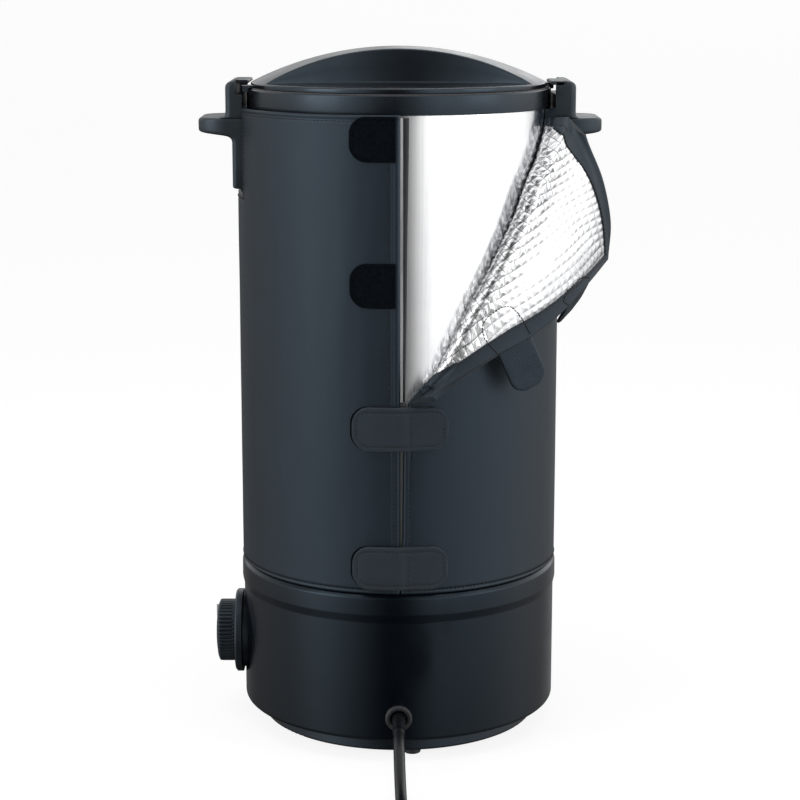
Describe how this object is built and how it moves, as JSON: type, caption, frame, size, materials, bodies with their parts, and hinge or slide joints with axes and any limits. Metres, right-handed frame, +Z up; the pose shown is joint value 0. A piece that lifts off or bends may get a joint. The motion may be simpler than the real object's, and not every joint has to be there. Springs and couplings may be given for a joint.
{
  "type": "wax melter",
  "caption": "Tall electric wax melting pot with domed locking lid, two handles, quilted insulating jacket, heated base with thermostat knob, and drain tap.",
  "frame": {"origin": "on the table, on the pot's axis, in the plane of the four feet", "axes": "+Z up along the pot's axis; -Y to the side where the mains cord leaves and the jacket closes; +Y to the tap; -X to the thermostat knob"},
  "size_m": [0.3987, 0.572, 0.502],
  "materials": {
    "pot_steel": "mirror-polished stainless steel",
    "liner_steel": "satin stainless sheet",
    "lid_plastic": "satin moulded black",
    "handle_plastic": "fine-textured moulded black",
    "collar_metal": "satin black enamel",
    "base_paint": "smooth semi-gloss black coating",
    "jacket_fabric": "black woven nylon with a slight sheen",
    "foil_lining": "quilted aluminised lining",
    "tab_fabric": "black hook tape",
    "loop_fabric": "black loop pile",
    "seal_silicone": "dark grey silicone",
    "black_rubber": "matt",
    "cord_pvc": "smooth black PVC",
    "knob_plastic": "satin black with a bright pointer",
    "screw_steel": "plated steel",
    "heater_metal": "cast aluminium",
    "element_steel": "heat-darkened steel sheath",
    "shield_metal": "bright rolled sheet",
    "copper": "drawn copper",
    "tap_metal": "polished stainless steel",
    "lever_sleeve": "red dipped vinyl",
    "control_case": "cream phenolic",
    "wire_sleeve": "braided glass sleeve",
    "lens_amber": "amber moulded lens",
    "pin_brass": "nickel-plated brass"
  },
  "bodies": {
    "melter": {"pot": "pot_steel", "pot_floor": "pot_steel", "pot_collar": "collar_metal", "handle_right": "handle_plastic", "handle_left": "handle_plastic", "handle_screws": "screw_steel", "jacket_body": "jacket_fabric", "jacket_flap": "foil_lining", "loop_patches": "loop_fabric", "closure_tab_3_base": "tab_fabric", "closure_tab_4_base": "tab_fabric", "closure_tab_1": "tab_fabric", "closure_tab_2": "tab_fabric", "base_shell": "base_paint", "base_plate": "collar_metal", "rubber_feet": "black_rubber", "base_standoffs": "screw_steel", "base_screws": "screw_steel", "heat_shield": "shield_metal", "heater_plate": "heater_metal", "heating_element": "element_steel", "heater_clamp": "screw_steel", "clamp_stud": "screw_steel", "clamp_nut": "screw_steel", "thermal_cutout": "control_case", "thermostat_body": "control_case", "thermostat_nut": "pin_brass", "knob_bezel": "knob_plastic", "pilot_lens": "lens_amber", "cord_grommet": "black_rubber", "cord_inner_end": "cord_pvc", "cord_clamp": "control_case", "terminal_block": "control_case", "internal_wires": "wire_sleeve", "sensor_bulb": "copper", "power_cord": "cord_pvc", "cord_coil": "cord_pvc", "cord_tail": "cord_pvc", "plug_body": "black_rubber", "plug_pins": "pin_brass", "tap_body": "tap_metal", "tap_washers": "seal_silicone", "tap_nut": "screw_steel", "tap_spout": "tap_metal"},
    "lid_lift_carrier": {"lid_seal": "seal_silicone"},
    "lid": {"lid_shell": "lid_plastic", "lid_inner_plate": "liner_steel", "lid_screws": "screw_steel"},
    "knob": {"control_knob": "knob_plastic", "thermostat_shaft": "screw_steel"},
    "tap_lever_set": {"tap_ball": "tap_metal", "tap_lever": "tap_metal", "lever_grip": "lever_sleeve", "lever_nut": "screw_steel"},
    "tab_3": {"closure_tab_3_end": "tab_fabric"},
    "tab_4": {"closure_tab_4_end": "tab_fabric"}
  },
  "joints": [
    {"name": "lid_lift", "type": "slide", "parent": "melter", "child": "lid_lift_carrier", "axis": [0, 0, 1], "range_m": [0, 0.16]},
    {"name": "lid_twist", "type": "hinge", "parent": "lid_lift_carrier", "child": "lid", "pos_m": [0, 0, 0.4754], "axis": [0, 0, 1], "range_deg": [-16, 0]},
    {"name": "knob_turn", "type": "hinge", "parent": "melter", "child": "knob", "pos_m": [-0.13, 0, 0.063], "axis": [1, 0, 0], "range_deg": [0, 270]},
    {"name": "tap_lever_turn", "type": "hinge", "parent": "melter", "child": "tap_lever_set", "pos_m": [0, 0.141, 0.178], "axis": [0, 0, 1], "range_deg": [0, 90]},
    {"name": "tab_3_peel", "type": "hinge", "parent": "melter", "child": "tab_3", "pos_m": [0.0071, -0.12149, 0.2455], "axis": [0, 0, 1], "range_deg": [0, 120]},
    {"name": "tab_4_peel", "type": "hinge", "parent": "melter", "child": "tab_4", "pos_m": [0.0051, -0.12159, 0.1455], "axis": [0, 0, 1], "range_deg": [0, 120]}
  ]
}
